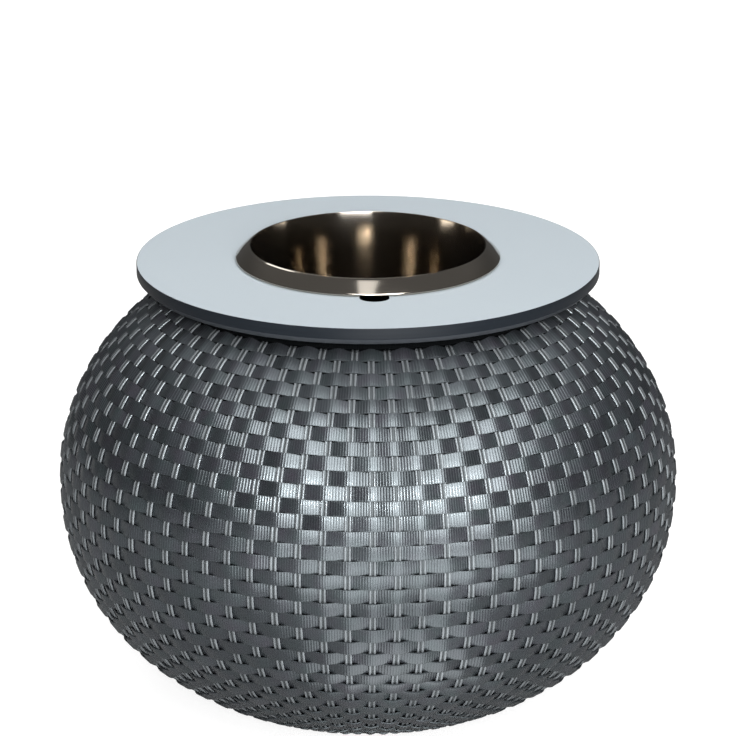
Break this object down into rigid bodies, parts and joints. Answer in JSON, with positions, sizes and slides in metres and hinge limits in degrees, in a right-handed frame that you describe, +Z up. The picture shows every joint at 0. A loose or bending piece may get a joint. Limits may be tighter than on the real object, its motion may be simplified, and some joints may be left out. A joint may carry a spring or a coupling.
{
  "type": "ice bucket coffee table",
  "caption": "Low outdoor coffee table: a flattened woven ball on a hidden tube frame, a round laminate top and a lift-out steel ice bucket in its centre.",
  "frame": {"origin": "floor level under the centre of the table", "axes": "+Z up along the upright axis of the woven body, -Y towards the finger notch at the front of the top"},
  "size_m": [0.5198, 0.5197, 0.3966],
  "materials": {
    "laminate": "compact laminate, pale blue-grey satin face with a near-black core at the edge",
    "woven_strap": "extruded polyethylene strap, anthracite, finely ribbed, satin sheen, over lighter grey twin-rib stakes",
    "powder_coat": "aluminium tube and plate, powder coated in dark anthracite, fine satin texture",
    "polished_steel": "spun stainless steel, mirror polished, dark reflections",
    "plain_steel": "stainless steel fasteners, as machined",
    "rubber": "black rubber, matt",
    "nylon": "moulded black nylon, slightly rough"
  },
  "bodies": {
    "table": {"table_top": "laminate", "woven_shell": "woven_strap", "weft_straps": "woven_strap", "top_border": "woven_strap", "base_border": "woven_strap", "top_ring": "powder_coat", "waist_ring": "powder_coat", "base_ring": "powder_coat", "rib_1": "powder_coat", "rib_2": "powder_coat", "rib_3": "powder_coat", "rib_4": "powder_coat", "rib_5": "powder_coat", "rib_6": "powder_coat", "rib_7": "powder_coat", "rib_8": "powder_coat", "top_bracket_1": "powder_coat", "top_spacer_1": "rubber", "top_screw_1": "plain_steel", "glide_bracket_1": "powder_coat", "glide_1": "nylon", "glide_nut_1": "plain_steel", "top_bracket_2": "powder_coat", "top_spacer_2": "rubber", "top_screw_2": "plain_steel", "glide_bracket_2": "powder_coat", "glide_2": "nylon", "glide_nut_2": "plain_steel", "top_bracket_3": "powder_coat", "top_spacer_3": "rubber", "top_screw_3": "plain_steel", "glide_bracket_3": "powder_coat", "glide_3": "nylon", "glide_nut_3": "plain_steel", "top_bracket_4": "powder_coat", "top_spacer_4": "rubber", "top_screw_4": "plain_steel", "glide_bracket_4": "powder_coat", "glide_4": "nylon", "glide_nut_4": "plain_steel"},
    "bucket": {"ice_bucket": "polished_steel"}
  },
  "joints": [
    {"name": "bucket_lift", "type": "slide", "parent": "table", "child": "bucket", "axis": [0, 0, 1], "range_m": [0, 0.2]}
  ]
}
